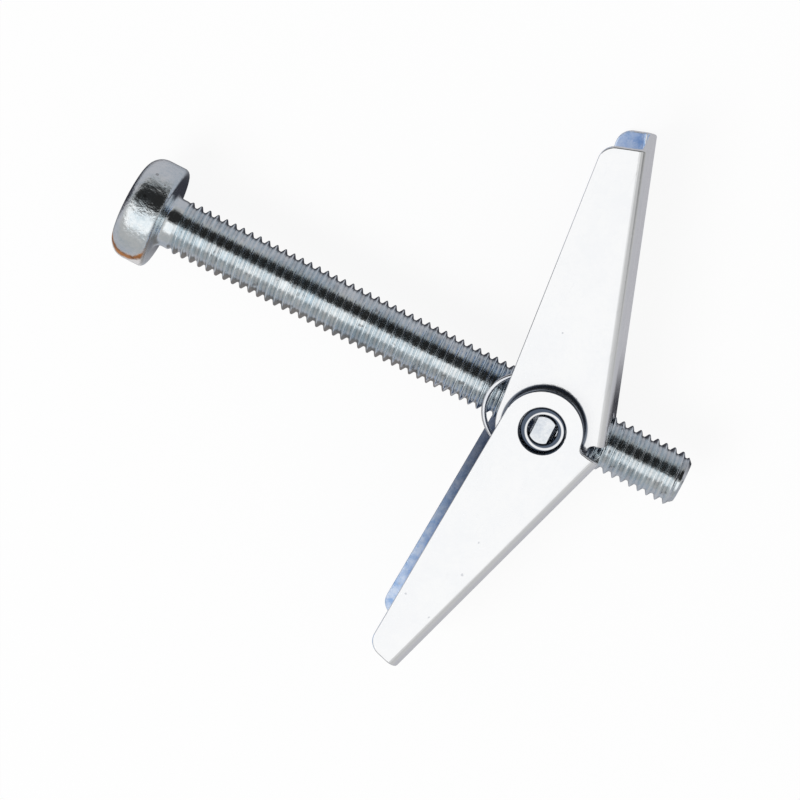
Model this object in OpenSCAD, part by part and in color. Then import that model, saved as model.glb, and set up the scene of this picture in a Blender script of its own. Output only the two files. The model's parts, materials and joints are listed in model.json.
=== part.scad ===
// Spring toggle bolt: a pan-head machine screw in a pressed trunnion nut that
// carries two folding channel wings, pushed open by a torsion spring.
// Frame: X runs along the screw from head to tip, Z along the wings' pivot.
// The bolt lies on one wing's outer flange at Z = 0, wings open.

/* [Screw] */
// Outer diameter of the thread
screw_d = 5.9; // [5:0.1:6.3]
// Length from under the head to the tip
screw_l = 61; // [54:1:80]
// Diameter of the pan head
head_d = 11.4; // [10.5:0.1:12.6]
// Height of the pan head
head_h = 4.6; // [4:0.1:5.5]
// Radius of the head's upper edge
head_edge_r = 1.9; // [1:0.1:2.4]
// Radius of the head's lower edge
head_rim_r = 0.6; // [0.3:0.1:1]
// Radius of the crowned top of the head
crown_r = 26; // [20:1:60]
// Fillet between the head and the shank
neck_r = 0.8; // [0.3:0.1:1]
// Chamfer at the screw's tip
tip_chamfer = 0.7; // [0.3:0.1:1]

/* [Drive recess] */
// Span of the cross recess at the top of the head
recess_d = 6.6; // [5:0.1:7]
// Width of the four arms of the recess
recess_w = 1.2; // [0.8:0.1:1.6]
// Depth of the recess
recess_depth = 2.8; // [2:0.1:3]

/* [Wings] */
// Thickness of the wings' sheet
sheet_t = 0.8; // [0.7:0.05:1]
// Outer radius of the bends between web and flanges
bend_r = 1.4; // [1.05:0.05:1.6]
// Length of a wing from its pivot to its tip
wing_l = 30; // [26:0.5:32]
// Width of the outer flange at the wing's tip
tip_w = 3.9; // [3.4:0.1:5]
// Extra width of the inner flange, all along its free edge and its ear
inner_lip = 0.8; // [0:0.1:1]
// Distance from the pivot to the outer face of the web
web_d = 6.7; // [6.6:0.1:7.6]
// Radius of the outer ear round the pivot
ear_r = 4.3; // [3.8:0.1:4.6]
// Radius of the flanges' free corner at the tip
tip_corner_r = 1.8; // [0.8:0.1:2.2]
// Inner radius where an ear runs into its flange
ear_fillet_r = 0.7; // [0.4:0.1:1]
// Angle by which the wings' ends are cut back beside the screw
end_cut = 12; // [0:1:16]
// Angle at which the open wings lean back towards the head
sweep = 17.8; // [14:0.1:20]
// Angle by which the open pair of wings has swung round the pivot
lean = 0.9; // [0:0.1:3]
// Wall of the drawn collar that one wing's ear turns on
collar_wall = 0.8; // [0.35:0.05:0.9]
// Depth of the collar's end below the face of the outer ear
collar_sink = 0.5; // [0.1:0.05:0.6]

/* [Trunnion nut] */
// Thickness of the nut's strip
nut_t = 2; // [1.6:0.1:2.2]
// Width of the nut's body
nut_w = 9.6; // [8.4:0.1:10.4]
// Corner radius of the nut's body
nut_corner_r = 1.2; // [0.6:0.1:1.8]
// Wall of the drawn collar round the thread
nut_collar_wall = 0.7; // [0.5:0.05:0.8]
// Length of the drawn collar round the thread
nut_collar_l = 2.2; // [1.5:0.1:2.6]
// Strip left between the thread and the shoulder under the spring
shoulder = 0.55; // [0.4:0.05:0.6]
// Radius of the flattened pivot pins
pin_r = 1.5; // [1.4:0.05:1.8]

/* [Torsion spring] */
// Diameter of the spring wire
wire_d = 0.55; // [0.4:0.01:0.6]
// Radius of the coil at the middle of the wire
coil_r = 4.1; // [3.6:0.05:4.3]
// Distance from the pivot to the end of a leg, along the wing
leg_reach = 12; // [10:0.5:18]

/* [Fits and assembly] */
// Distance from under the head to the pivot
grip = 45.4; // [40:0.1:46]
// Radial clearance between the screw and the nut
thread_clear = 0.05; // [0.03:0.01:0.1]
// Radial clearance between a pin and the collar that turns on it
pin_clear = 0.06; // [0.03:0.01:0.1]
// Radial clearance between a collar and the ear that turns on it
ear_clear = 0.08; // [0.04:0.01:0.12]
// Gap between the flanges that lie over each other
layer_gap = 0.8; // [0.1:0.05:1.2]
// Gap round the spring's wire
spring_gap = 0.06; // [0.04:0.01:0.1]
// Gap between the ends of the two open wings, beside the outer ears
end_gap = 0.4; // [0.2:0.05:1]
// Radial room for the screw in the notches of the webs
notch_clear = 0.45; // [0.3:0.05:0.6]

/* [Hidden] */
$fn = 64;
cut = 1;              // how far cutting shapes run past a face
far = 100;            // larger than the whole bolt
wire_sides = 8;       // facets round the spring's wire
coil_steps = 30;      // stretches that the coil is bent from

screw_r = screw_d / 2;
head_r = head_d / 2;
total_l = head_h + screw_l;
head_x = -total_l / 2;
pivot_x = head_x + head_h + grip;
hub_r = recess_d / 4;
crown_s = sqrt(crown_r * crown_r - hub_r * hub_r);

// Heights above the screw's axis
thread_r = screw_r + thread_clear;
shoulder_z = thread_r + shoulder;
coil_low_z = shoulder_z + spring_gap + wire_d / 2;
coil_rise = wire_d + 2 * spring_gap;
inner_z = coil_low_z + coil_rise + wire_d / 2 + spring_gap;
outer_z = inner_z + sheet_t + layer_gap;
axis_z = outer_z + sheet_t;

// Wing outline, in the plane of the flanges with the pivot at the origin
collar_in_r = pin_r + pin_clear;
collar_out_r = collar_in_r + collar_wall;
ear_hole_r = collar_out_r + ear_clear;
tip_v = tip_w - web_d;
end_y = end_gap / 2 * cos(end_cut) - ear_r * sin(end_cut);
notch_r = screw_r + notch_clear;

// The coil hangs on the flat pin and reaches towards the head
pin_corner_y = sqrt(pin_r * pin_r - nut_t * nut_t / 4);
coil_in_r = coil_r - wire_d / 2 - spring_gap;
coil_x = nut_t / 2 - sqrt(coil_in_r * coil_in_r - pin_corner_y * pin_corner_y);
leg_v = sheet_t + spring_gap + wire_d / 2 - web_d;
left_end = turned([leg_reach, leg_v], 90 + sweep + lean);
right_end = turned([leg_reach, leg_v], 90 + sweep - lean);

// Direction across the free edge that touches an ear of radius r and ends at depth v
function edge_normal(r, v) =
    let (a = asin(r / norm([wing_l, v])) + atan2(-v, wing_l))
    [sin(a), cos(a)];

function turned(p, a) = [p[0] * cos(a) - p[1] * sin(a), p[0] * sin(a) + p[1] * cos(a)];

// Angle at which a straight leg to point p leaves the coil
function leave_angle(p) =
    let (chord = p - [coil_x, 0])
    atan2(chord[1], chord[0]) - acos(coil_r / norm(chord));

// A point of the coil at angle a, with share s of the way down the coil
function coil_point(a, s) = [
    coil_x + coil_r * cos(a),
    coil_r * sin(a),
    coil_low_z + coil_rise * (1 - s)
];

// The wire's middle line: the right leg, round the coil, the left leg
function spring_path() =
    let (a0 = -leave_angle(right_end), a1 = 360 + leave_angle(left_end))
    concat(
        [[right_end[0], -right_end[1], coil_low_z + coil_rise]],
        [for (s = [0:1 / coil_steps:1]) coil_point(a0 + (a1 - a0) * s, s)],
        [[left_end[0], left_end[1], coil_low_z]]
    );

// Level direction of the path at point i, from its neighbours
function heading(path, i) =
    let (a = path[max(i - 1, 0)], b = path[min(i + 1, len(path) - 1)], d = [b[0] - a[0], b[1] - a[1]])
    d / norm(d);

// Ring of points round the wire at point i of the path
function wire_ring(path, i) =
    let (h = heading(path, i))
    [for (k = [0:wire_sides - 1])
        let (a = 360 * k / wire_sides)
        path[i] + wire_d / 2 * [h[1] * cos(a), -h[0] * cos(a), sin(a)]];

// Round bar swept along a list of points, closed at both ends
module swept_wire(path) {
    last = (len(path) - 1) * wire_sides;
    points = [for (i = [0:len(path) - 1]) each wire_ring(path, i)];
    sides = [for (i = [0:len(path) - 2], k = [0:wire_sides - 1])
        let (n = (k + 1) % wire_sides, a = i * wire_sides, b = a + wire_sides)
        [a + k, b + k, b + n, a + n]];
    polyhedron(points, concat(
        sides,
        [[for (k = [0:wire_sides - 1]) k]],
        [[for (k = [wire_sides - 1:-1:0]) last + k]]
    ));
}

// Places a shape that was drawn round the pivot
module at_pivot() {
    translate([pivot_x, 0, axis_z]) children();
}

// Turns a shape that was drawn along Z so that it runs along X
module along_x(x) {
    translate([x, 0, axis_z]) rotate([0, 90, 0]) children();
}

// Half section of the head, from the crowned top down to the rounded rim
module head_section() {
    rim_s = head_h - head_rim_r;
    intersection() {
        union() {
            square([head_r - head_edge_r, rim_s]);
            translate([0, head_edge_r]) square([head_r, rim_s - head_edge_r]);
            translate([head_r - head_edge_r, head_edge_r]) circle(head_edge_r);
            translate([0, rim_s]) square([head_r - head_rim_r, head_rim_r]);
            translate([head_r - head_rim_r, rim_s]) circle(head_rim_r);
        }
        translate([0, crown_s]) circle(crown_r);
    }
}

// Half section of the shank with the fillet under the head and the tip's chamfer
module shank_section() {
    translate([0, head_h - cut]) square([screw_r, screw_l - tip_chamfer + cut]);
    polygon([
        [0, total_l - tip_chamfer],
        [screw_r, total_l - tip_chamfer],
        [screw_r - tip_chamfer, total_l],
        [0, total_l]
    ]);
    difference() {
        translate([0, head_h - head_rim_r]) square([screw_r + neck_r, neck_r + head_rim_r]);
        translate([screw_r + neck_r, head_h + neck_r]) circle(neck_r);
    }
}

// Cross recess: two crossed wedges that meet in a central cone
module cross_recess() {
    for (a = [0, 90]) {
        rotate([0, 0, a]) rotate([90, 0, 0])
            linear_extrude(recess_w, center = true)
                polygon([
                    [-recess_d / 2, -cut],
                    [recess_d / 2, -cut],
                    [recess_d / 2, 0],
                    [recess_w / 2, recess_depth],
                    [-recess_w / 2, recess_depth],
                    [-recess_d / 2, 0]
                ]);
    }
    translate([0, 0, -cut]) cylinder(h = cut, r = hub_r);
    cylinder(h = recess_depth, r1 = hub_r, r2 = recess_w / 2);
}

module machine_screw() {
    color([0.66, 0.69, 0.73])
        along_x(head_x)
            difference() {
                rotate_extrude() {
                    head_section();
                    shank_section();
                }
                cross_recess();
            }
}

// Outline of the nut's strip, seen along the screw
module nut_outline() {
    for (y = [-1, 1], z = [-1, 1])
        translate([z * (shoulder_z - nut_corner_r), y * (nut_w / 2 - nut_corner_r)])
            circle(nut_corner_r);
    square([2 * shoulder_z, nut_w - 2 * nut_corner_r], center = true);
    square([2 * (shoulder_z - nut_corner_r), nut_w], center = true);
}

// Flattened round pin that sticks out of both ends of the strip
module pivot_pin() {
    intersection() {
        cylinder(h = 2 * (outer_z + sheet_t / 2), r = pin_r, center = true);
        cube([nut_t, far, far], center = true);
    }
}

module trunnion_nut() {
    color([0.62, 0.66, 0.72])
        difference() {
            union() {
                along_x(pivot_x) linear_extrude(nut_t, center = true) nut_outline();
                along_x(pivot_x - nut_t / 2 - nut_collar_l)
                    cylinder(h = nut_collar_l + nut_t / 2, r = thread_r + nut_collar_wall);
                at_pivot() pivot_pin();
            }
            along_x(pivot_x - far / 2) cylinder(h = far, r = thread_r);
        }
}

module torsion_spring() {
    color([0.78, 0.8, 0.82]) at_pivot() swept_wire(spring_path());
}

// Side outline of a wing: a tapering flange that ends in a round ear, both wider by lip
module wing_outline(lip) {
    r = ear_r + lip;
    across = edge_normal(r, tip_v + lip);
    corner_u = wing_l - tip_corner_r;
    corner = [corner_u, (r - tip_corner_r - corner_u * across[0]) / across[1]];
    circle(r);
    intersection() {
        rotate(90 + sweep) {
            polygon([
                [-r, -web_d],
                [wing_l, -web_d],
                [wing_l, corner[1]],
                corner + tip_corner_r * across,
                r * across,
                [0, 0],
                [-r, 0]
            ]);
            translate(corner) circle(tip_corner_r);
        }
        rotate(end_cut) translate([-far / 2, end_y]) square([far, far]);
    }
    rotate(end_cut) ear_fillet(r);
}

// Inner fillet between an ear of radius r and the end of its flange
module ear_fillet(r) {
    centre_y = end_y - ear_fillet_r;
    centre = [sqrt(pow(r + ear_fillet_r, 2) - pow(centre_y, 2)), centre_y];
    difference() {
        polygon([
            [0, r],
            [0, 0],
            r / (r + ear_fillet_r) * centre,
            [centre[0], end_y]
        ]);
        translate(centre) circle(ear_fillet_r);
    }
}

// Section with rounded corners on the web's side, from depth v0 onwards
module section_blank(v0, low_z, high_z, r) {
    translate([low_z + r, v0]) square([high_z - low_z - 2 * r, far]);
    translate([low_z, v0 + r]) square([high_z - low_z, far]);
    for (z = [low_z + r, high_z - r])
        translate([z, v0 + r]) circle(r);
}

// Bent sheet: web and two flanges, drawn along the wing
module bent_sheet() {
    rotate([0, 0, 90 + sweep]) translate([-far / 2, 0, 0]) rotate([0, -90, 0])
        mirror([0, 0, 1]) linear_extrude(far)
            difference() {
                section_blank(-web_d, -outer_z - sheet_t, inner_z + sheet_t, bend_r);
                section_blank(sheet_t - web_d, -outer_z, inner_z, bend_r - sheet_t);
            }
}

// One wing, drawn round the pivot for the +Y side
module wing() {
    difference() {
        union() {
            intersection() {
                bent_sheet();
                union() {
                    linear_extrude(far) wing_outline(inner_lip);
                    translate([0, 0, -far]) linear_extrude(far) wing_outline(0);
                }
            }
            translate([0, 0, inner_z])
                cylinder(h = outer_z + sheet_t - collar_sink - inner_z, r = collar_out_r);
        }
        cylinder(h = far, r = collar_in_r);
        translate([0, 0, -far]) cylinder(h = far, r = ear_hole_r);
        rotate([0, 90, 0]) cylinder(h = far, r = notch_r);
    }
}

module left_wing() {
    color([0.86, 0.88, 0.91]) at_pivot() rotate([0, 0, lean]) wing();
}

module right_wing() {
    color([0.82, 0.85, 0.89]) at_pivot() rotate([0, 0, lean]) rotate([180, 0, 0]) wing();
}

machine_screw();
trunnion_nut();
torsion_spring();
left_wing();
right_wing();
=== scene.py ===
"""Spring toggle bolt: a zinc-plated machine screw in a trunnion nut with two sprung channel wings."""
import json
import math

import bmesh
import bpy
import numpy as np
from mathutils import Matrix, Vector


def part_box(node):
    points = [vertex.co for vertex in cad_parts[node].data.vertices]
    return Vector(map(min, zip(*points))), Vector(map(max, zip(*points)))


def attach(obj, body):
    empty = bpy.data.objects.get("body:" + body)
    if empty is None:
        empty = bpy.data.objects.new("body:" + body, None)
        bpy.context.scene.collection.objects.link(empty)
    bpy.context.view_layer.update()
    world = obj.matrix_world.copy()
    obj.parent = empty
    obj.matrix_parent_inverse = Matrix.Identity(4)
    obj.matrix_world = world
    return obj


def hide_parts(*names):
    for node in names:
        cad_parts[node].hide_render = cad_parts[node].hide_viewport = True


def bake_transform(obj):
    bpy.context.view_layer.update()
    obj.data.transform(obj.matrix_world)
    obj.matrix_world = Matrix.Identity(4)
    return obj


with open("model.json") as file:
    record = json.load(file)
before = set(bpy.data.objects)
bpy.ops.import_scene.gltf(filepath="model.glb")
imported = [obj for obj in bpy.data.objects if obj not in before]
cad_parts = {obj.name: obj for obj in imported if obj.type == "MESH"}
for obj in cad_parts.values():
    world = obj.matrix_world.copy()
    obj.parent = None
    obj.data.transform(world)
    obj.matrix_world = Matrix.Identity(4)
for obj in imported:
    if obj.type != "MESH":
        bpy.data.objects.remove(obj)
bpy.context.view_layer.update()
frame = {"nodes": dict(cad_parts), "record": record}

MM = 0.001

# Places taken from the frame, in millimetres
screw_low, screw_high = (np.array(corner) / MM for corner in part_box("machine_screw"))
HEAD_X = screw_low[0]
TIP_X = screw_high[0]
AXIS_Z = (screw_low[2] + screw_high[2]) / 2
HEAD_R = (screw_high[1] - screw_low[1]) / 2
fold_joint = next(j for j in frame["record"]["behaviour"]["joints"] if j["name"] == "left_wing_fold")
PIVOT = np.array(fold_joint["pos_m"]) / MM

# Screw, in millimetres
HEAD_H = 4.6
HEAD_EDGE_R = 1.9
HEAD_RIM_R = 0.6
CROWN_R = 26.0
NECK_R = 2.74
NECK_FILLET = 0.8
CREST_R = 2.95
THREAD_DEPTH = 0.48
CREST_WIDTH = 0.13
ROOT_WIDTH = 0.27
PITCH = 1.0
RUN_OUT = (0.35, 1.25)
TIP_CHAMFER = 0.75
TIP_FACE_DIP = 0.12
AROUND = 72
RECESS_REACH = 3.3
RECESS_WIDTH = 1.2
RECESS_DEPTH = 2.8
# Shares of a pitch at which the thread's section is worked out, with the crest at 0 and the root at 0.5
FLANK_PHASES = np.array([0.035, 0.065, 0.095, 0.2, 0.31, 0.34, 0.37, 0.42])
THREAD_PHASES = np.concatenate([[0], FLANK_PHASES, [0.5], 1 - FLANK_PHASES[::-1]])

# Spring, in millimetres from the pivot
WIRE_R = 0.275
COIL_R = 4.1
COIL_X = -2.595
COIL_LOW_Z = 3.885
COIL_RISE = 0.67
LEFT_LEG_END = (1.424, 13.15)
RIGHT_LEG_END = (1.836, -13.099)

# Pivot holes of the wings, in millimetres from the pivot
COLLAR_R = 2.5
COLLAR_TOP = 6.0
EAR_RIM = (4.0, 5.4)
# Painted shadow that an ear's rim casts on the flange below it: distance from the pivot's line, and height
EAR_SHADOW_START = (4.0, 4.3)
EAR_SHADOW_END = (4.48, 4.64)
EAR_SHADOW_HEIGHT = (5.4, 6.2)
# Painted highlight along the collar's lip, where the painted shade is left out: its circle's place and
# radius, and its half width
LIP_HIGHLIGHT_PLACE = (0.2, -0.05)
LIP_HIGHLIGHT_R = 1.9
LIP_HIGHLIGHT_WIDTH = (0.07, 0.17)
# Stretch from the pivot over which the painted shade between the flanges thins out, in millimetres
HUB_SHADE = (6.0, 27.0)

# Rust on the head: angle round the axis, in degrees, and how it bows over the head's side, in millimetres
RUST_ANGLE = -55.0
RUST_BOW = 20.0
RUST_BOW_DEPTH = 2.3
RUST_WAVER = 16.0
RUST_EDGE = (2.5, 10.0)
RIM_START = (4.0, 8.0)
RIM_END = (30.0, 44.0)
# Share of the head's radius over which the rust begins
RUST_RADIUS = (0.66, 0.82)

# Pressed sheet edges, in millimetres
WING_EDGE_ROUND = 0.32
NUT_EDGE_ROUND = 0.15
SHARP_ANGLE = math.radians(32)

# Studio
TENT_R = 0.9
TENT_WHITE = 1.15
TENT_GREY = 0.42
TENT_DARK = 0.02
TENT_END = 0.5
# Where the tent's white strip and dark side fade in and out, in degrees across the screw from straight up
STRIP_FADE = ((-46, -31), (4, 14))
SIDE_FADE = ((6, 18), (64, 82))
# Where the dark side ends along the screw, in degrees, and the part by the strip that ends sooner at the tip
SIDE_END = (66, 84)
SIDE_TIP_END = (30, 56)
SIDE_TIP_PART = (20, 36)
# Where the end walls begin along the screw, in degrees
TIP_WALL = (10, 66)
HEAD_WALL = (60, 84)
# How far to the screw's sides the mirrored floor is dim, in millimetres
FLOOR_DIM = (2.5, 9.0)
# Warm patch on the mirrored floor, towards -Y and along the screw, in millimetres
WARM_ASIDE = ((3, 8), (16, 36))
WARM_ALONG = ((-27, -23), (6, 12))


def grid_quads(rows, columns, closed):
    """Quads of a grid of points numbered row by row; closed joins the last column to the first."""
    last = columns if closed else columns - 1
    row = np.arange(rows - 1)[:, None] * columns
    here = np.arange(last)[None, :]
    beside = (here + 1) % columns
    quads = np.stack([row + here, row + beside, row + columns + beside, row + columns + here], axis=-1)
    return quads.reshape(-1, 4)


def arc(centre_x, centre_r, radius, start_deg, end_deg, steps):
    """Points (x, r) of an arc; the angle is counted from the head's top, outwards."""
    angle = np.radians(np.linspace(start_deg, end_deg, steps))
    return np.stack([centre_x - radius * np.cos(angle), centre_r + radius * np.sin(angle)], axis=-1)


def revolved(profile, columns):
    """Turns a profile (x, r) round the screw's axis: y = r cos a, z = r sin a, for evenly spaced angles a."""
    angle = np.linspace(0, 2 * np.pi, columns, endpoint=False)[None, :]
    x = np.broadcast_to(profile[:, :1], (len(profile), columns))
    r = profile[:, 1:]
    return np.stack([x, r * np.cos(angle), r * np.sin(angle) + AXIS_Z], axis=-1).reshape(-1, 3)


def piece_from(name, points_mm, quads):
    """A mesh object of these points, in millimetres of the row frame, with coincident points merged."""
    mesh = bpy.data.meshes.new(name)
    mesh.from_pydata((points_mm * MM).tolist(), [], quads.tolist())
    obj = bpy.data.objects.new(name, mesh)
    bpy.context.scene.collection.objects.link(obj)
    close_up(mesh)
    return obj


def close_up(mesh, flatten=False):
    """Merges coincident points, drops faces of no area and turns every face outwards."""
    work = bmesh.new()
    work.from_mesh(mesh)
    bmesh.ops.remove_doubles(work, verts=work.verts, dist=0.002 * MM)
    bmesh.ops.dissolve_degenerate(work, edges=work.edges, dist=0.001 * MM)
    if flatten:
        bmesh.ops.dissolve_limit(work, angle_limit=math.radians(0.4), verts=work.verts, edges=work.edges)
    bmesh.ops.recalc_face_normals(work, faces=work.faces)
    work.to_mesh(mesh)
    work.free()


def shade(obj):
    """Smooth faces, with edges steeper than the sharp angle kept crisp."""
    obj.data.polygons.foreach_set("use_smooth", np.ones(len(obj.data.polygons), bool))
    obj.data.set_sharp_from_angle(angle=SHARP_ANGLE)


def mesh_points(obj):
    """The object's points, in millimetres of the row frame."""
    points = np.empty(len(obj.data.vertices) * 3)
    obj.data.vertices.foreach_get("co", points)
    return points.reshape(-1, 3) / MM


def point_mask(obj, name, values):
    """Keeps one value a point as an attribute that a material reads."""
    attribute = obj.data.attributes.new(name, "FLOAT", "POINT")
    attribute.data.foreach_set("value", values.astype(np.float32))


def head_profile():
    """The pan head as one line of arcs: crown, rounded edge, side, rim, flat seat and neck fillet."""
    edge_r = HEAD_R - HEAD_EDGE_R
    turn = math.degrees(math.asin(edge_r / (CROWN_R - HEAD_EDGE_R)))
    edge_x = CROWN_R - math.sqrt((CROWN_R - HEAD_EDGE_R) ** 2 - edge_r**2)
    neck_x = HEAD_H + NECK_FILLET
    crown = arc(CROWN_R, 0, CROWN_R, 0, turn, 14)
    edge = arc(edge_x, edge_r, HEAD_EDGE_R, turn, 90, 16)
    side = np.stack([np.linspace(edge_x, HEAD_H - HEAD_RIM_R, 6), np.full(6, HEAD_R)], axis=-1)
    rim = arc(HEAD_H - HEAD_RIM_R, HEAD_R - HEAD_RIM_R, HEAD_RIM_R, 90, 180, 9)
    seat_r = np.linspace(HEAD_R - HEAD_RIM_R, NECK_R + NECK_FILLET, 5)
    seat = np.stack([np.full(5, HEAD_H), seat_r], axis=-1)
    fillet = arc(neck_x, NECK_R + NECK_FILLET, NECK_FILLET, 0, -90, 9)
    return np.concatenate([crown, edge, side, rim, seat, fillet]) + [HEAD_X, 0]


def thread_height(phase):
    """Rolled thread section over one pitch: 1 on the crest, 0 in the root and straight flanks between.
    The corners are rounded by taking the mean over a short stretch on both sides."""
    reach = np.linspace(-0.05, 0.05, 9)[:, None]
    off = np.abs((phase[None, :] + reach + 0.5) % 1 - 0.5)
    flank = 0.5 - CREST_WIDTH / 2 - ROOT_WIDTH / 2
    return np.clip((CREST_WIDTH / 2 + flank - off) / flank, 0, 1).mean(axis=0)


def threaded_shank(start_x):
    """Helical surface: rows of equal phase climb one pitch a turn, x = a + pitch * angle / 2 pi.
    The radius is root + depth * section(phase), faded in from the neck and held under the tip's chamfer."""
    per_turn = len(THREAD_PHASES)
    turns = int(math.ceil((TIP_X - start_x) / PITCH)) + 1
    row_turn = (np.arange(turns)[:, None] + THREAD_PHASES[None, :]).reshape(-1)
    row_turn = np.append(row_turn, turns)
    angle = np.linspace(0, 2 * np.pi, AROUND, endpoint=False)
    run = start_x + PITCH * (row_turn[:, None] - 1 + angle[None, :] / (2 * np.pi))
    x = np.clip(run, start_x, TIP_X)
    fade = np.clip((x - start_x - RUN_OUT[0]) / (RUN_OUT[1] - RUN_OUT[0]), 0, 1)
    fade = fade * fade * (3 - 2 * fade)
    full = CREST_R - THREAD_DEPTH * (1 - thread_height(row_turn))[:, None]
    r = NECK_R + (full - NECK_R) * fade
    r = np.minimum(r, CREST_R - TIP_CHAMFER + np.clip(TIP_X - x, 0, None))
    y = r * np.cos(angle)[None, :]
    z = r * np.sin(angle)[None, :] + AXIS_Z
    points = np.stack([x, y, z], axis=-1).reshape(-1, 3)
    rows = len(row_turn)
    seam_rows = np.arange(rows - 1 - per_turn)
    left = seam_rows * AROUND + AROUND - 1
    right = (seam_rows + per_turn) * AROUND
    seam = np.stack([left, right, right + AROUND, left + AROUND], axis=-1)
    return points, np.concatenate([grid_quads(rows, AROUND, False), seam])


def tip_profile():
    """The sheared end: a shallow dish inside the chamfer's edge."""
    edge = CREST_R - TIP_CHAMFER
    r = np.linspace(edge, 0, 8)
    dip = TIP_FACE_DIP * (1 - (r / edge) ** 2)
    return np.stack([TIP_X - dip, r], axis=-1)


def cross_cutter():
    """The driver's cross as levels of one plus-shaped outline that shrinks down to a blunt point."""
    corner = np.array([[1, 0], [0, 0], [0, 1]])
    reach = np.array([RECESS_REACH + 0.12, RECESS_REACH, RECESS_REACH * 0.36, 0.45])
    half = np.array([RECESS_WIDTH, RECESS_WIDTH, RECESS_WIDTH * 0.72, 0.5]) / 2
    depth = np.array([-0.6, 0, RECESS_DEPTH * 0.86, RECESS_DEPTH])
    lengths = half[:, None, None] + (reach - half)[:, None, None] * corner[None]
    turn = np.arange(4) * np.pi / 2
    c = np.cos(turn)[None, :, None]
    s = np.sin(turn)[None, :, None]
    u = lengths[:, None, :, 0]
    v = lengths[:, None, :, 1]
    y = (u * c - v * s).reshape(4, 12)
    z = (u * s + v * c).reshape(4, 12)
    x = np.broadcast_to(depth[:, None], (4, 12))
    rings = np.stack([x, y, z], axis=-1)
    start = rings[:1] * [1, 0, 0]
    end = rings[-1:] * [1, 0, 0]
    points = np.concatenate([start, rings, end]).reshape(-1, 3) + [HEAD_X, 0, AXIS_Z]
    return piece_from("cross_cutter", points, grid_quads(6, 12, True))


def cut_out(obj, cutter):
    """Takes the cutter's shape out of the piece and removes the cutter."""
    cut = obj.modifiers.new("cut", "BOOLEAN")
    cut.operation = "DIFFERENCE"
    cut.solver = "EXACT"
    cut.object = cutter
    bpy.context.view_layer.update()
    evaluated = obj.evaluated_get(bpy.context.evaluated_depsgraph_get())
    result = bpy.data.meshes.new_from_object(evaluated)
    obj.modifiers.remove(cut)
    obj.data = result
    bpy.data.objects.remove(cutter)


def machine_screw():
    """Head, threaded shank and sheared tip as one closed surface, with the cross cut into the crown."""
    head = head_profile()
    shank, shank_quads = threaded_shank(head[-1, 0])
    tip = tip_profile()
    head_points = revolved(head, AROUND)
    tip_points = revolved(tip, AROUND)
    head_quads = grid_quads(len(head), AROUND, True)
    tip_quads = grid_quads(len(tip), AROUND, True)
    points = np.concatenate([head_points, shank, tip_points])
    shank_quads = shank_quads + len(head_points)
    tip_quads = tip_quads + len(head_points) + len(shank)
    obj = piece_from("screw", points, np.concatenate([head_quads, shank_quads, tip_quads]))
    cut_out(obj, cross_cutter())
    shade(obj)
    place = mesh_points(obj)
    radius = np.hypot(place[:, 1], place[:, 2] - AXIS_Z)
    on_thread = place[:, 0] > HEAD_X + HEAD_H + NECK_FILLET
    root = np.clip((CREST_R - radius) / THREAD_DEPTH, 0, 1) * on_thread
    point_mask(obj, "thread_root", root)
    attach(obj, "screw")
    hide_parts("machine_screw")
    return obj


def pressed_copy(node, name, body, edge_round):
    """A sheet piece as the press leaves it: the node's own faces, merged, with every edge rounded."""
    mesh = frame["nodes"][node].data.copy()
    mesh.materials.clear()
    obj = bpy.data.objects.new(name, mesh)
    bpy.context.scene.collection.objects.link(obj)
    close_up(mesh, flatten=True)
    shade(obj)
    rounding = obj.modifiers.new("sheared_edge", "BEVEL")
    rounding.width = edge_round * MM
    rounding.segments = 3
    rounding.limit_method = "ANGLE"
    rounding.angle_limit = math.radians(40)
    rounding.harden_normals = True
    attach(obj, body)
    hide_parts(node)
    return obj


def mark_channel(wing):
    """Marks the faces between a wing's flanges, which look at the middle of the channel and get painted
    shade, and the ones that get dark painted shade:
    those in the pivot holes and round the ears' rims."""
    mesh = wing.data
    count = len(mesh.polygons)
    centre = np.empty(count * 3)
    normal = np.empty(count * 3)
    mesh.polygons.foreach_get("center", centre)
    mesh.polygons.foreach_get("normal", normal)
    centre = centre.reshape(-1, 3) / MM - PIVOT
    normal = normal.reshape(-1, 3)
    flange = (np.abs(normal[:, 2]) > 0.9) & (centre[:, 2] * normal[:, 2] < 0)
    web = (normal[:, 0] < -0.6) & (np.abs(centre[:, 1]) > 1)
    # These faces get the channel's painted shade in the material.
    attribute = mesh.attributes.new("channel_inside", "FLOAT", "FACE")
    attribute.data.foreach_set("value", (flange | web).astype(np.float32))
    corner = np.empty(len(mesh.loops), np.int32)
    first = np.empty(count, np.int32)
    mesh.loops.foreach_get("vertex_index", corner)
    mesh.polygons.foreach_get("loop_start", first)
    from_pivot = np.hypot(*(mesh_points(wing) - PIVOT)[corner, :2].T)
    farthest = np.maximum.reduceat(from_pivot, first)
    nearest = np.minimum.reduceat(from_pivot, first)
    upright = np.abs(normal[:, 2]) < 0.5
    hole = (farthest < COLLAR_R) & (upright | (np.abs(centre[:, 2]) > COLLAR_TOP))
    ear_rim = (nearest > EAR_RIM[0]) & (farthest < EAR_RIM[1]) & upright
    # Painted shade: the holes and the ears' rims are painted dark.
    pivot_shade_mask = hole | ear_rim
    attribute = mesh.attributes.new("pivot_shade", "FLOAT", "FACE")
    attribute.data.foreach_set("value", pivot_shade_mask.astype(np.float32))


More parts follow.
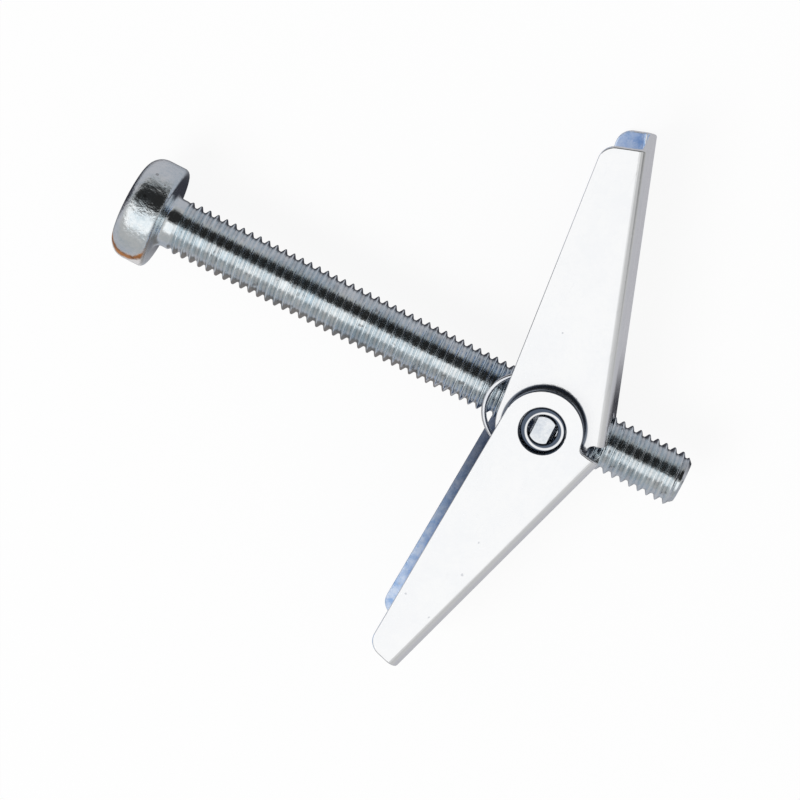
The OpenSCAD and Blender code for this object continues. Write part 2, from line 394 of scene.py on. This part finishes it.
def tube(name, path):
    """A round wire along a path: rings of wire radius across the path, closed to a point at both ends."""
    around = 18
    ahead = np.gradient(path, axis=0)
    ahead /= np.linalg.norm(ahead, axis=1, keepdims=True)
    side = np.cross([0, 0, 1], ahead)
    side /= np.linalg.norm(side, axis=1, keepdims=True)
    up = np.cross(ahead, side)
    angle = np.linspace(0, 2 * np.pi, around, endpoint=False)[None, :, None]
    ring = np.cos(angle) * side[:, None, :] + np.sin(angle) * up[:, None, :]
    body = path[:, None, :] + WIRE_R * ring
    rim = 0.999 * WIRE_R * ring
    first = [path[:1, None, :] + 0 * ring[:1], path[:1, None, :] + rim[:1]]
    last = [path[-1:, None, :] + rim[-1:], path[-1:, None, :] + 0 * ring[-1:]]
    points = np.concatenate(first + [body] + last)
    obj = piece_from(name, points.reshape(-1, 3) + PIVOT, grid_quads(len(points), around, True))
    shade(obj)
    return obj


def leave_angle(leg_end):
    """Angle on the coil at which a straight leg to this point leaves it, in radians."""
    chord = np.array(leg_end) - [COIL_X, 0]
    return math.atan2(chord[1], chord[0]) - math.acos(COIL_R / np.linalg.norm(chord))


def torsion_spring():
    """One turn of wire, x = cx + R cos a, y = R sin a, falling from right to left, and two straight legs."""
    mirrored = (RIGHT_LEG_END[0], -RIGHT_LEG_END[1])
    start = -leave_angle(mirrored)
    end = 2 * math.pi + leave_angle(LEFT_LEG_END)
    share = np.linspace(0, 1, 110)
    angle = start + (end - start) * share
    z = COIL_LOW_Z + COIL_RISE * (1 - share)
    coil = np.stack([COIL_X + COIL_R * np.cos(angle), COIL_R * np.sin(angle), z], axis=-1)
    along = np.linspace(0, 1, 40)[:, None]
    left = coil[-1] + along * (np.append(LEFT_LEG_END, COIL_LOW_Z) - coil[-1])
    right = coil[0] + along * (np.append(RIGHT_LEG_END, COIL_LOW_Z + COIL_RISE) - coil[0])
    loop = tube("spring_loop", coil)
    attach(loop, "toggle")
    legs = [
        (tube("spring_leg_left", left), left, "left_wing"),
        (tube("spring_leg_right", right), right, "right_wing"),
    ]
    for leg, path, body in legs:
        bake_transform(leg)
    pieces = [loop] + [leg for leg, path, body in legs]
    for piece in pieces:
        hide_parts("torsion_spring")
    return pieces


def node(tree, kind, inputs=None, **settings):
    """Adds a node; an input is a socket to link from or a plain value."""
    made = tree.nodes.new(kind)
    for key, value in settings.items():
        setattr(made, key, value)
    for key, value in (inputs or {}).items():
        if isinstance(value, bpy.types.NodeSocket):
            tree.links.new(value, made.inputs[key])
        else:
            made.inputs[key].default_value = value
    return made


def mixed(tree, factor, first, second):
    """Colour mix of two colours or sockets."""
    made = node(tree, "ShaderNodeMix", {0: factor, 6: first, 7: second}, data_type="RGBA")
    return made.outputs[2]


def maths(tree, operation, first, second=0.0):
    """One Math node."""
    return node(tree, "ShaderNodeMath", {0: first, 1: second}, operation=operation).outputs[0]


def ranged(tree, value, low, high, to_low=0.0, to_high=1.0):
    """Map Range with ends held."""
    inputs = {"Value": value, "From Min": low, "From Max": high, "To Min": to_low, "To Max": to_high}
    return node(tree, "ShaderNodeMapRange", inputs, interpolation_type="SMOOTHSTEP").outputs[0]


def band(tree, value, rise, fall):
    """1 between two places, fading in over rise and out over fall, which are in millimetres."""
    start = ranged(tree, value, rise[0] * MM, rise[1] * MM)
    end = ranged(tree, value, fall[0] * MM, fall[1] * MM)
    return maths(tree, "SUBTRACT", start, end)


def group(name, inputs, outputs):
    """An empty shader group with these sockets; returns the tree, its input node and its output node."""
    tree = bpy.data.node_groups.new(name, "ShaderNodeTree")
    for label, kind, value in inputs:
        socket = tree.interface.new_socket(label, in_out="INPUT", socket_type=kind)
        if value is not None:
            socket.default_value = value
    for label, kind in outputs:
        tree.interface.new_socket(label, in_out="OUTPUT", socket_type=kind)
    return tree, tree.nodes.new("NodeGroupInput"), tree.nodes.new("NodeGroupOutput")


def zinc_clouds_group():
    """Uneven passivation: two noises drift the plating's colour and its gloss."""
    tree, inside, out = group(
        "zinc_clouds",
        [
            ("Vector", "NodeSocketVector", None),
            ("Scale", "NodeSocketFloat", 300.0),
            ("Pale", "NodeSocketColor", (0.85, 0.87, 0.9, 1)),
            ("Deep", "NodeSocketColor", (0.7, 0.75, 0.82, 1)),
            ("Rough Low", "NodeSocketFloat", 0.15),
            ("Rough High", "NodeSocketFloat", 0.3),
        ],
        [("Color", "NodeSocketColor"), ("Roughness", "NodeSocketFloat"), ("Cloud", "NodeSocketFloat")],
    )
    broad = node(
        tree,
        "ShaderNodeTexNoise",
        {
            "Vector": inside.outputs["Vector"],
            "Scale": inside.outputs["Scale"],
            "Detail": 6.0,
            "Roughness": 0.62,
        },
    )
    fine_scale = maths(tree, "MULTIPLY", inside.outputs["Scale"], 7.0)
    fine = node(
        tree,
        "ShaderNodeTexNoise",
        {"Vector": inside.outputs["Vector"], "Scale": fine_scale, "Detail": 4.0, "Roughness": 0.7},
    )
    broad_part = maths(tree, "MULTIPLY", broad.outputs[0], 0.65)
    fine_part = maths(tree, "MULTIPLY", fine.outputs[0], 0.35)
    both = maths(tree, "ADD", broad_part, fine_part)
    cloud = ranged(tree, both, 0.36, 0.66)
    colour = mixed(tree, cloud, inside.outputs["Pale"], inside.outputs["Deep"])
    rough = node(
        tree,
        "ShaderNodeMapRange",
        {"Value": cloud, "To Min": inside.outputs["Rough Low"], "To Max": inside.outputs["Rough High"]},
    )
    tree.links.new(colour, out.inputs["Color"])
    tree.links.new(rough.outputs[0], out.inputs["Roughness"])
    tree.links.new(cloud, out.inputs["Cloud"])
    return tree


def specks_group():
    """Small dark pits and stains: cells whose random share is high show a dot of their own size."""
    tree, inside, out = group(
        "specks",
        [
            ("Vector", "NodeSocketVector", None),
            ("Scale", "NodeSocketFloat", 900.0),
            ("Share", "NodeSocketFloat", 0.1),
            ("Size", "NodeSocketFloat", 0.28),
        ],
        [("Mask", "NodeSocketFloat")],
    )
    wobble = node(
        tree,
        "ShaderNodeTexNoise",
        {"Vector": inside.outputs["Vector"], "Scale": 2600.0, "Detail": 2.0},
    )
    cells = node(
        tree,
        "ShaderNodeTexVoronoi",
        {"Vector": inside.outputs["Vector"], "Scale": inside.outputs["Scale"]},
    )
    pick = node(tree, "ShaderNodeSeparateColor", {0: cells.outputs["Color"]})
    chosen = maths(tree, "LESS_THAN", pick.outputs[0], inside.outputs["Share"])
    uneven = maths(tree, "ADD", cells.outputs["Distance"], maths(tree, "MULTIPLY", wobble.outputs[0], 0.2))
    size = maths(tree, "MULTIPLY", inside.outputs["Size"], maths(tree, "ADD", pick.outputs[1], 0.5))
    dot = maths(tree, "LESS_THAN", maths(tree, "SUBTRACT", uneven, 0.1), size)
    mask = maths(tree, "MULTIPLY", chosen, dot)
    tree.links.new(mask, out.inputs["Mask"])
    return tree


def scuffs_group():
    """Fine handling scratches: a noise stretched one way and cut to thin lines, and an even grain."""
    tree, inside, out = group(
        "scuffs",
        [
            ("Vector", "NodeSocketVector", None),
            ("Stretch", "NodeSocketVector", (200.0, 3000.0, 3000.0)),
            ("Grain Scale", "NodeSocketFloat", 6000.0),
        ],
        [("Scratch", "NodeSocketFloat"), ("Grain", "NodeSocketFloat")],
    )
    spread = node(
        tree,
        "ShaderNodeVectorMath",
        {0: inside.outputs["Vector"], 1: inside.outputs["Stretch"]},
        operation="MULTIPLY",
    )
    lines = node(tree, "ShaderNodeTexNoise", {"Vector": spread.outputs[0], "Scale": 1.0, "Detail": 3.0})
    scratch = ranged(tree, lines.outputs[0], 0.6, 0.72)
    grain = node(
        tree,
        "ShaderNodeTexNoise",
        {"Vector": inside.outputs["Vector"], "Scale": inside.outputs["Grain Scale"], "Detail": 3.0},
    )
    tree.links.new(scratch, out.inputs["Scratch"])
    tree.links.new(grain.outputs[0], out.inputs["Grain"])
    return tree


CLOUDS = zinc_clouds_group()
SPECKS = specks_group()
SCUFFS = scuffs_group()


def use(tree, shared, inputs):
    """Places a shared group in a material with its own values."""
    return node(tree, "ShaderNodeGroup", inputs, node_tree=shared)


def metal(name):
    """A new bare metal; returns the material, its tree, the shader and Object coordinates."""
    material = bpy.data.materials.new(name)
    material.use_nodes = True
    tree = material.node_tree
    shader = tree.nodes["Principled BSDF"]
    shader.inputs["Metallic"].default_value = 1.0
    place = tree.nodes.new("ShaderNodeTexCoord").outputs["Object"]
    return material, tree, shader, place


def bumped(tree, shader, height, strength, distance_mm):
    """Feeds a height into the shader's normal."""
    inputs = {"Height": height, "Strength": strength, "Distance": distance_mm * MM}
    bump = node(tree, "ShaderNodeBump", inputs)
    tree.links.new(bump.outputs[0], shader.inputs["Normal"])


def ear_shadow_ring(tree, axes, from_pivot):
    """Mask of the painted shadow ring on the inner flanges, outside the other wing's ear."""
    ring = band(tree, from_pivot, EAR_SHADOW_START, EAR_SHADOW_END)
    height = maths(tree, "ABSOLUTE", maths(tree, "SUBTRACT", axes.outputs[2], PIVOT[2] * MM))
    above = maths(tree, "GREATER_THAN", height, EAR_SHADOW_HEIGHT[0] * MM)
    below = maths(tree, "LESS_THAN", height, EAR_SHADOW_HEIGHT[1] * MM)
    return maths(tree, "MULTIPLY", ring, maths(tree, "MULTIPLY", above, below))


def pivot_distance(tree, axes, place=(0.0, 0.0)):
    """Distance from the pivot's line, or from a line beside it, whose place is in millimetres."""
    ahead = maths(tree, "SUBTRACT", axes.outputs[0], (PIVOT[0] + place[0]) * MM)
    aside = maths(tree, "SUBTRACT", axes.outputs[1], (PIVOT[1] + place[1]) * MM)
    squares = maths(tree, "ADD", maths(tree, "MULTIPLY", ahead, ahead), maths(tree, "MULTIPLY", aside, aside))
    return maths(tree, "SQRT", squares)


def wing_zinc():
    """Bright plated sheet: almost white outside; painted shade makes it bluer and darker between the flanges
    and dark at the pivot, with a painted highlight on the collar's lip.
    """
    material, tree, shader, place = metal("wing_zinc")
    clouds = use(
        tree,
        CLOUDS,
        {
            "Vector": place,
            "Scale": 260.0,
            "Pale": (0.95, 0.955, 0.96, 1),
            "Deep": (0.92, 0.93, 0.945, 1),
            "Rough Low": 0.06,
            "Rough High": 0.13,
        },
    )
    # Painted shade: the faces between the flanges take a darker, bluer copy of the plating, as they lie in
    # the channel's shade.
    inner = use(
        tree,
        CLOUDS,
        {"Vector": place, "Scale": 900.0, "Pale": (0.68, 0.77, 0.92, 1), "Deep": (0.28, 0.45, 0.75, 1)},
    )
    axes = node(tree, "ShaderNodeSeparateXYZ", {0: place})
    reach = maths(tree, "ABSOLUTE", axes.outputs[1])
    # Painted shade: the channel darkens towards the pivot, where the other parts shade it.
    hub_shade = maths(tree, "SUBTRACT", 1.0, ranged(tree, reach, HUB_SHADE[0] * MM, HUB_SHADE[1] * MM))
    hub_shade = maths(tree, "MULTIPLY", hub_shade, 0.9)
    channel_shade_colour = mixed(tree, hub_shade, inner.outputs["Color"], (0.05, 0.065, 0.11, 1))
    inside = node(tree, "ShaderNodeAttribute", attribute_name="channel_inside").outputs["Fac"]
    colour = mixed(tree, inside, clouds.outputs["Color"], channel_shade_colour)
    specks = use(tree, SPECKS, {"Vector": place, "Scale": 900.0, "Share": 0.05, "Size": 0.1})
    colour = mixed(tree, maths(tree, "MULTIPLY", specks.outputs[0], 0.45), colour, (0.42, 0.45, 0.5, 1))
    pivot_shade_mask = node(tree, "ShaderNodeAttribute", attribute_name="pivot_shade").outputs["Fac"]
    from_pivot = pivot_distance(tree, axes)
    in_hole = maths(tree, "LESS_THAN", from_pivot, COLLAR_R * MM)
    # Painted highlight: a thin bright line on the collar's lip, where the painted shade is lifted.
    from_lip = maths(tree, "SUBTRACT", pivot_distance(tree, axes, LIP_HIGHLIGHT_PLACE), LIP_HIGHLIGHT_R * MM)
    off_lip = maths(tree, "ABSOLUTE", from_lip)
    bright = ranged(tree, off_lip, LIP_HIGHLIGHT_WIDTH[0] * MM, LIP_HIGHLIGHT_WIDTH[1] * MM, 0.9, 0.0)
    wear_and_highlight = maths(tree, "MULTIPLY", in_hole, bright)
    pivot_shade_mask = maths(tree, "MULTIPLY", pivot_shade_mask, maths(tree, "SUBTRACT", 0.97, wear_and_highlight))
    # Painted shadow of the other wing's ear on the flange below it.
    ear_shadow = maths(tree, "MULTIPLY", ear_shadow_ring(tree, axes, from_pivot), 0.9)
    pivot_shade_mask = maths(tree, "MAXIMUM", pivot_shade_mask, ear_shadow)
    # Painted shade in the pivot holes, on the ears' rims and in the ring round the other wing's ear.
    colour = mixed(tree, pivot_shade_mask, colour, (0.06, 0.085, 0.13, 1))
    scuffs = use(tree, SCUFFS, {"Vector": place, "Stretch": (2600.0, 240.0, 2600.0)})
    rough = maths(tree, "ADD", clouds.outputs["Roughness"], maths(tree, "MULTIPLY", scuffs.outputs[0], 0.12))
    tree.links.new(colour, shader.inputs["Base Color"])
    tree.links.new(rough, shader.inputs["Roughness"])
    bare = maths(tree, "SUBTRACT", 0.87, maths(tree, "MULTIPLY", inside, 0.5))
    tree.links.new(bare, shader.inputs["Metallic"])
    height = maths(tree, "ADD", scuffs.outputs["Grain"], clouds.outputs["Cloud"])
    bumped(tree, shader, height, 0.12, 0.02)
    return material


def nut_zinc():
    """Duller plating on the pressed strip and its pins."""
    material, tree, shader, place = metal("nut_zinc")
    clouds = use(
        tree,
        CLOUDS,
        {
            "Vector": place,
            "Scale": 350.0,
            "Pale": (0.86, 0.88, 0.9, 1),
            "Deep": (0.66, 0.71, 0.78, 1),
            "Rough Low": 0.14,
            "Rough High": 0.3,
        },
    )
    scuffs = use(tree, SCUFFS, {"Vector": place, "Stretch": (2400.0, 2400.0, 300.0)})
    specks = use(tree, SPECKS, {"Vector": place, "Scale": 1300.0, "Share": 0.08, "Size": 0.25})
    stain = maths(tree, "MULTIPLY", specks.outputs[0], 0.5)
    colour = mixed(tree, stain, clouds.outputs["Color"], (0.3, 0.33, 0.38, 1))
    tree.links.new(colour, shader.inputs["Base Color"])
    rough = maths(tree, "ADD", clouds.outputs["Roughness"], maths(tree, "MULTIPLY", scuffs.outputs[0], 0.15))
    tree.links.new(rough, shader.inputs["Roughness"])
    bumped(tree, shader, scuffs.outputs["Grain"], 0.15, 0.02)
    return material


def spring_wire():
    """Drawn wire: bright, with faint draw lines."""
    material, tree, shader, place = metal("spring_wire")
    clouds = use(
        tree,
        CLOUDS,
        {
            "Vector": place,
            "Scale": 500.0,
            "Pale": (0.9, 0.91, 0.93, 1),
            "Deep": (0.74, 0.77, 0.82, 1),
            "Rough Low": 0.1,
            "Rough High": 0.22,
        },
    )
    scuffs = use(tree, SCUFFS, {"Vector": place, "Grain Scale": 9000.0})
    tree.links.new(clouds.outputs["Color"], shader.inputs["Base Color"])
    rough = maths(tree, "ADD", clouds.outputs["Roughness"], maths(tree, "MULTIPLY", scuffs.outputs[0], 0.1))
    tree.links.new(rough, shader.inputs["Roughness"])
    bumped(tree, shader, scuffs.outputs["Grain"], 0.1, 0.01)
    return material


def head_marks(tree, place):
    """Masks on the screw's head: the head itself, a wavering rust line on its side, and a pale band past it.
    The line lies at angle + bow ((depth - s) / depth)^2 round the axis, s millimetres from the seat."""
    axes = node(tree, "ShaderNodeSeparateXYZ", {0: place})
    seat = (HEAD_X + HEAD_H) * MM
    depth = maths(tree, "DIVIDE", maths(tree, "SUBTRACT", seat, axes.outputs[0]), MM)
    on_head = ranged(tree, depth, -0.1, 0.3)
    height = maths(tree, "SUBTRACT", axes.outputs[2], AXIS_Z * MM)
    angle = maths(tree, "MULTIPLY", maths(tree, "ARCTAN2", axes.outputs[1], height), 180 / math.pi)
    aside = axes.outputs[1]
    squares = maths(tree, "ADD", maths(tree, "POWER", aside, 2.0), maths(tree, "POWER", height, 2.0))
    radius = maths(tree, "DIVIDE", maths(tree, "SQRT", squares), HEAD_R * MM)
    on_side = maths(tree, "MULTIPLY", on_head, ranged(tree, radius, *RUST_RADIUS))
    bow = maths(tree, "DIVIDE", maths(tree, "SUBTRACT", RUST_BOW_DEPTH, depth), RUST_BOW_DEPTH)
    bowed = maths(tree, "MULTIPLY", maths(tree, "MULTIPLY", bow, bow), RUST_BOW)
    line = maths(tree, "ADD", bowed, RUST_ANGLE)
    noise = node(
        tree,
        "ShaderNodeTexNoise",
        {"Vector": place, "Scale": 900.0, "Detail": 4.0, "Roughness": 0.65},
    )
    waver = maths(tree, "MULTIPLY", maths(tree, "SUBTRACT", noise.outputs[0], 0.5), RUST_WAVER)
    past = maths(tree, "ADD", maths(tree, "SUBTRACT", line, angle), waver)
    rust = maths(tree, "SUBTRACT", 1.0, ranged(tree, maths(tree, "ABSOLUTE", past), *RUST_EDGE))
    rust = maths(tree, "MULTIPLY", rust, on_side)
    not_past = maths(tree, "SUBTRACT", 1.0, ranged(tree, past, *RIM_END))
    rim = maths(tree, "MULTIPLY", ranged(tree, past, *RIM_START), not_past)
    return on_head, rust, maths(tree, "MULTIPLY", rim, on_side)


def screw_zinc():
    """Plated steel: dirt and painted shade in the thread's roots, a satin head, and a rust line on the head's
    lower side.
    """
    material, tree, shader, place = metal("screw_zinc")
    clouds = use(
        tree,
        CLOUDS,
        {
            "Vector": place,
            "Scale": 330.0,
            "Pale": (0.94, 0.97, 0.98, 1),
            "Deep": (0.7, 0.8, 0.86, 1),
            "Rough Low": 0.1,
            "Rough High": 0.22,
        },
    )
    root = node(tree, "ShaderNodeAttribute", attribute_name="thread_root").outputs["Fac"]
    patchy = node(tree, "ShaderNodeTexNoise", {"Vector": place, "Scale": 700.0, "Detail": 4.0}).outputs[0]
    patches = ranged(tree, patchy, 0.3, 0.7, 0.0, 0.35)
    # Dirt and painted shade: the thread's roots are darkened in patches.
    root_dirt_and_shade = maths(tree, "MULTIPLY", ranged(tree, root, 0.45, 1.0), patches)
    colour = mixed(tree, root_dirt_and_shade, clouds.outputs["Color"], (0.2, 0.19, 0.19, 1))
    specks = use(tree, SPECKS, {"Vector": place, "Scale": 1500.0, "Share": 0.1, "Size": 0.25})
    colour = mixed(tree, maths(tree, "MULTIPLY", specks.outputs[0], 0.5), colour, (0.16, 0.15, 0.15, 1))
    scuffs = use(tree, SCUFFS, {"Vector": place, "Stretch": (500.0, 2600.0, 2600.0)})
    rough = maths(tree, "ADD", clouds.outputs["Roughness"], maths(tree, "MULTIPLY", scuffs.outputs[0], 0.12))
    on_head, rust, rust_rim = head_marks(tree, place)
    colour = mixed(tree, maths(tree, "MULTIPLY", rust_rim, 0.85), colour, (0.93, 0.9, 0.88, 1))
    rust_tone = ranged(tree, patchy, 0.35, 0.65)
    rust_colour = mixed(tree, rust_tone, (0.42, 0.16, 0.035, 1), (0.16, 0.06, 0.02, 1))
    colour = mixed(tree, rust, colour, rust_colour)
    rough = maths(tree, "ADD", rough, maths(tree, "MULTIPLY", rust, 0.45))
    tree.links.new(colour, shader.inputs["Base Color"])
    tree.links.new(rough, shader.inputs["Roughness"])
    dull_rim = maths(tree, "MULTIPLY", rust_rim, 0.6)
    dull = maths(tree, "MAXIMUM", maths(tree, "MULTIPLY", rust, 0.85), dull_rim)
    tree.links.new(maths(tree, "SUBTRACT", 1.0, dull), shader.inputs["Metallic"])
    pits = node(
        tree,
        "ShaderNodeTexNoise",
        {"Vector": place, "Scale": 1300.0, "Detail": 5.0, "Roughness": 0.62},
    )
    wear_and_highlight = maths(tree, "MULTIPLY", maths(tree, "MULTIPLY", pits.outputs[0], on_head), 14.0)
    grain = maths(tree, "ADD", scuffs.outputs["Grain"], clouds.outputs["Cloud"])
    bumped(tree, shader, maths(tree, "ADD", grain, wear_and_highlight), 0.25, 0.03)
    return material


def camera_or_mirror(tree):
    """1 for rays that the eye sees directly or in metal, 0 for those that only light the object."""
    rays = tree.nodes.new("ShaderNodeLightPath")
    seen = maths(tree, "MAXIMUM", rays.outputs["Is Camera Ray"], rays.outputs["Is Glossy Ray"])
    return maths(tree, "MAXIMUM", seen, rays.outputs["Is Transmission Ray"])


def eased(value, low, high):
    """0 below low, 1 above high, smooth between."""
    share = np.clip((value - low) / (high - low), 0, 1)
    return share * share * (3 - 2 * share)


def tent_light(direction):
    """Grey of the tent by the angle across the screw, where straight up is 0 and +Y is 90, and along it.
    A white strip overhead, a dark side beyond it towards +Y, and grey walls elsewhere, also at both ends."""
    across = np.degrees(np.arctan2(direction[:, 1], direction[:, 2]))
    along = np.degrees(np.arcsin(np.clip(direction[:, 0], -1, 1)))
    white = eased(across, *STRIP_FADE[0]) * (1 - eased(across, *STRIP_FADE[1]))
    dark = eased(across, *SIDE_FADE[0]) * (1 - eased(across, *SIDE_FADE[1]))
    by_white = 1 - eased(across, *SIDE_TIP_PART)
    side_end = np.maximum(eased(np.abs(along), *SIDE_END), eased(along, *SIDE_TIP_END) * by_white)
    dark = dark * (1 - side_end)
    ends = np.where(along > 0, eased(along, *TIP_WALL), eased(-along, *HEAD_WALL))
    grey = TENT_GREY + (TENT_WHITE - TENT_GREY) * white
    grey = grey + (TENT_END - grey) * ends
    return grey + (TENT_DARK - grey) * dark


def studio_tent():
    """Half a sphere that only metal mirrors: x = R cos e cos a, y = R cos e sin a, z = R sin e."""
    turns = 144
    rises = 48
    azimuth = np.linspace(0, 2 * np.pi, turns, endpoint=False)[None, :]
    rise = np.linspace(-0.02, np.pi / 2, rises)[:, None]
    x = np.cos(rise) * np.cos(azimuth)
    y = np.cos(rise) * np.sin(azimuth)
    z = np.sin(rise) + 0 * azimuth
    unit = np.stack([x, y, z], axis=-1).reshape(-1, 3)
    tent = piece_from("studio_tent", unit * TENT_R / MM, grid_quads(rises, turns, True))
    place = mesh_points(tent)
    grey = tent_light(place / np.linalg.norm(place, axis=1, keepdims=True))
    point_mask(tent, "tent_grey", grey)
    material = bpy.data.materials.new("tent_cloth")
    material.use_nodes = True
    tree = material.node_tree
    shader = tree.nodes["Principled BSDF"]
    shader.inputs["Base Color"].default_value = (0, 0, 0, 1)
    shader.inputs["Specular IOR Level"].default_value = 0.0
    shader.inputs["Emission Strength"].default_value = 1.0
    level = node(tree, "ShaderNodeAttribute", attribute_name="tent_grey").outputs["Fac"]
    tinted = mixed(tree, level, (0.0, 0.0, 0.0, 1), (1.0, 1.0, 1.0, 1))
    tree.links.new(tinted, shader.inputs["Emission Color"])
    tent.data.materials.append(material)
    tent.visible_camera = False
    tent.visible_diffuse = False
    tent.visible_shadow = False


def white_world():
    """White surroundings, dimmer for the rays that only light the object."""
    world = bpy.data.worlds.new("studio")
    bpy.context.scene.world = world
    world.use_nodes = True
    tree = world.node_tree
    seen = camera_or_mirror(tree)
    light = tree.nodes["Background"]
    light.inputs["Color"].default_value = (1, 1, 1, 1)
    strength = node(tree, "ShaderNodeMapRange", {"Value": seen, "To Min": 0.62, "To Max": 1.0})
    tree.links.new(strength.outputs[0], light.inputs["Strength"])


def mirrored_floor_tone(tree):
    """Tone of the floor as metal mirrors it: a painted shadow beside the screw, grey away from it, with a
    warm patch.
    """
    place = tree.nodes.new("ShaderNodeTexCoord").outputs["Object"]
    axes = node(tree, "ShaderNodeSeparateXYZ", {0: place})
    aside = maths(tree, "ABSOLUTE", axes.outputs[1])
    # Painted shadow on the mirrored floor beside the screw.
    away = ranged(tree, aside, FLOOR_DIM[0] * MM, FLOOR_DIM[1] * MM)
    tone = mixed(tree, away, (0.04, 0.04, 0.05, 1), (0.45, 0.45, 0.48, 1))
    low_side = maths(tree, "MULTIPLY", axes.outputs[1], -1.0)
    warm_aside = band(tree, low_side, *WARM_ASIDE)
    warm_along = band(tree, axes.outputs[0], *WARM_ALONG)
    warm = maths(tree, "MULTIPLY", warm_aside, warm_along)
    return mixed(tree, maths(tree, "MULTIPLY", warm, 0.8), tone, (0.13, 0.11, 0.095, 1))


def white_floor():
    """A white sheet that keeps the shadow, and that metal mirrors in a tone of its own."""
    half = 2.0
    corners = [(-half, -half, 0), (half, -half, 0), (half, half, 0), (-half, half, 0)]
    mesh = bpy.data.meshes.new("floor")
    mesh.from_pydata(corners, [], [(0, 1, 2, 3)])
    floor = bpy.data.objects.new("floor", mesh)
    bpy.context.scene.collection.objects.link(floor)
    material = bpy.data.materials.new("floor_white")
    material.use_nodes = True
    tree = material.node_tree
    paper = tree.nodes["Principled BSDF"]
    paper.inputs["Base Color"].default_value = (0.93, 0.93, 0.93, 1)
    paper.inputs["Roughness"].default_value = 0.9
    paper.inputs["Specular IOR Level"].default_value = 0.0
    glow = node(tree, "ShaderNodeEmission", {"Color": (1, 1, 1, 1), "Strength": 1.0})
    rays = tree.nodes.new("ShaderNodeLightPath")
    share = maths(tree, "MULTIPLY", rays.outputs["Is Camera Ray"], 0.9)
    seen = node(tree, "ShaderNodeMixShader", {0: share, 1: paper.outputs[0], 2: glow.outputs[0]})
    tone = mirrored_floor_tone(tree)
    mirrored = node(tree, "ShaderNodeEmission", {"Color": tone, "Strength": 1.0})
    in_metal = rays.outputs["Is Glossy Ray"]
    both = node(tree, "ShaderNodeMixShader", {0: in_metal, 1: seen.outputs[0], 2: mirrored.outputs[0]})
    tree.links.new(both.outputs[0], tree.nodes["Material Output"].inputs["Surface"])
    mesh.materials.append(material)


def soft_lamp():
    """One round lamp above the bolt, which metal doesn't mirror."""
    lamp = bpy.data.lights.new("soft_lamp", "AREA")
    lamp.shape = "DISK"
    lamp.size = 0.5
    lamp.energy = 3.2
    key = bpy.data.objects.new("soft_lamp", lamp)
    bpy.context.scene.collection.objects.link(key)
    place = Vector((-0.25, -0.35, 0.75))
    key.location = place
    key.rotation_euler = (-place).to_track_quat("-Z", "Y").to_euler()
    key.visible_glossy = False


def photo_camera():
    """A long lens almost straight above the bolt, turned so that the screw runs down to the right."""
    right = Vector((0.89017, 0.42893, -0.15369))
    up = Vector((-0.4544, 0.86056, -0.23013))
    back = Vector((0.03355, 0.27469, 0.96095))
    aim = Vector(PIVOT * MM) + Vector((-14.702, -5.419, 2.062)) * MM
    distance = 302.7 * MM
    data = bpy.data.cameras.new("photo_camera")
    data.sensor_width = 36.0
    data.lens = 129.41
    data.clip_start = 0.01
    data.clip_end = 20.0
    camera = bpy.data.objects.new("photo_camera", data)
    bpy.context.scene.collection.objects.link(camera)
    turn = Matrix((right, up, back)).transposed().to_4x4()
    camera.matrix_world = Matrix.Translation(aim + back * distance) @ turn
    bpy.context.scene.camera = camera


def finish_with(material, *objects):
    """Gives each object this one material."""
    for obj in objects:
        obj.data.materials.clear()
        obj.data.materials.append(material)


screw = machine_screw()
nut = pressed_copy("trunnion_nut", "nut", "toggle", NUT_EDGE_ROUND)
wings = [
    pressed_copy("left_wing", "wing_left", "left_wing", WING_EDGE_ROUND),
    pressed_copy("right_wing", "wing_right", "right_wing", WING_EDGE_ROUND),
]
for wing in wings:
    mark_channel(wing)
spring = torsion_spring()

finish_with(screw_zinc(), screw)
finish_with(nut_zinc(), nut)
finish_with(wing_zinc(), *wings)
finish_with(spring_wire(), *spring)
white_world()
white_floor()
studio_tent()
soft_lamp()
photo_camera()
bpy.context.scene.view_settings.view_transform = "Standard"
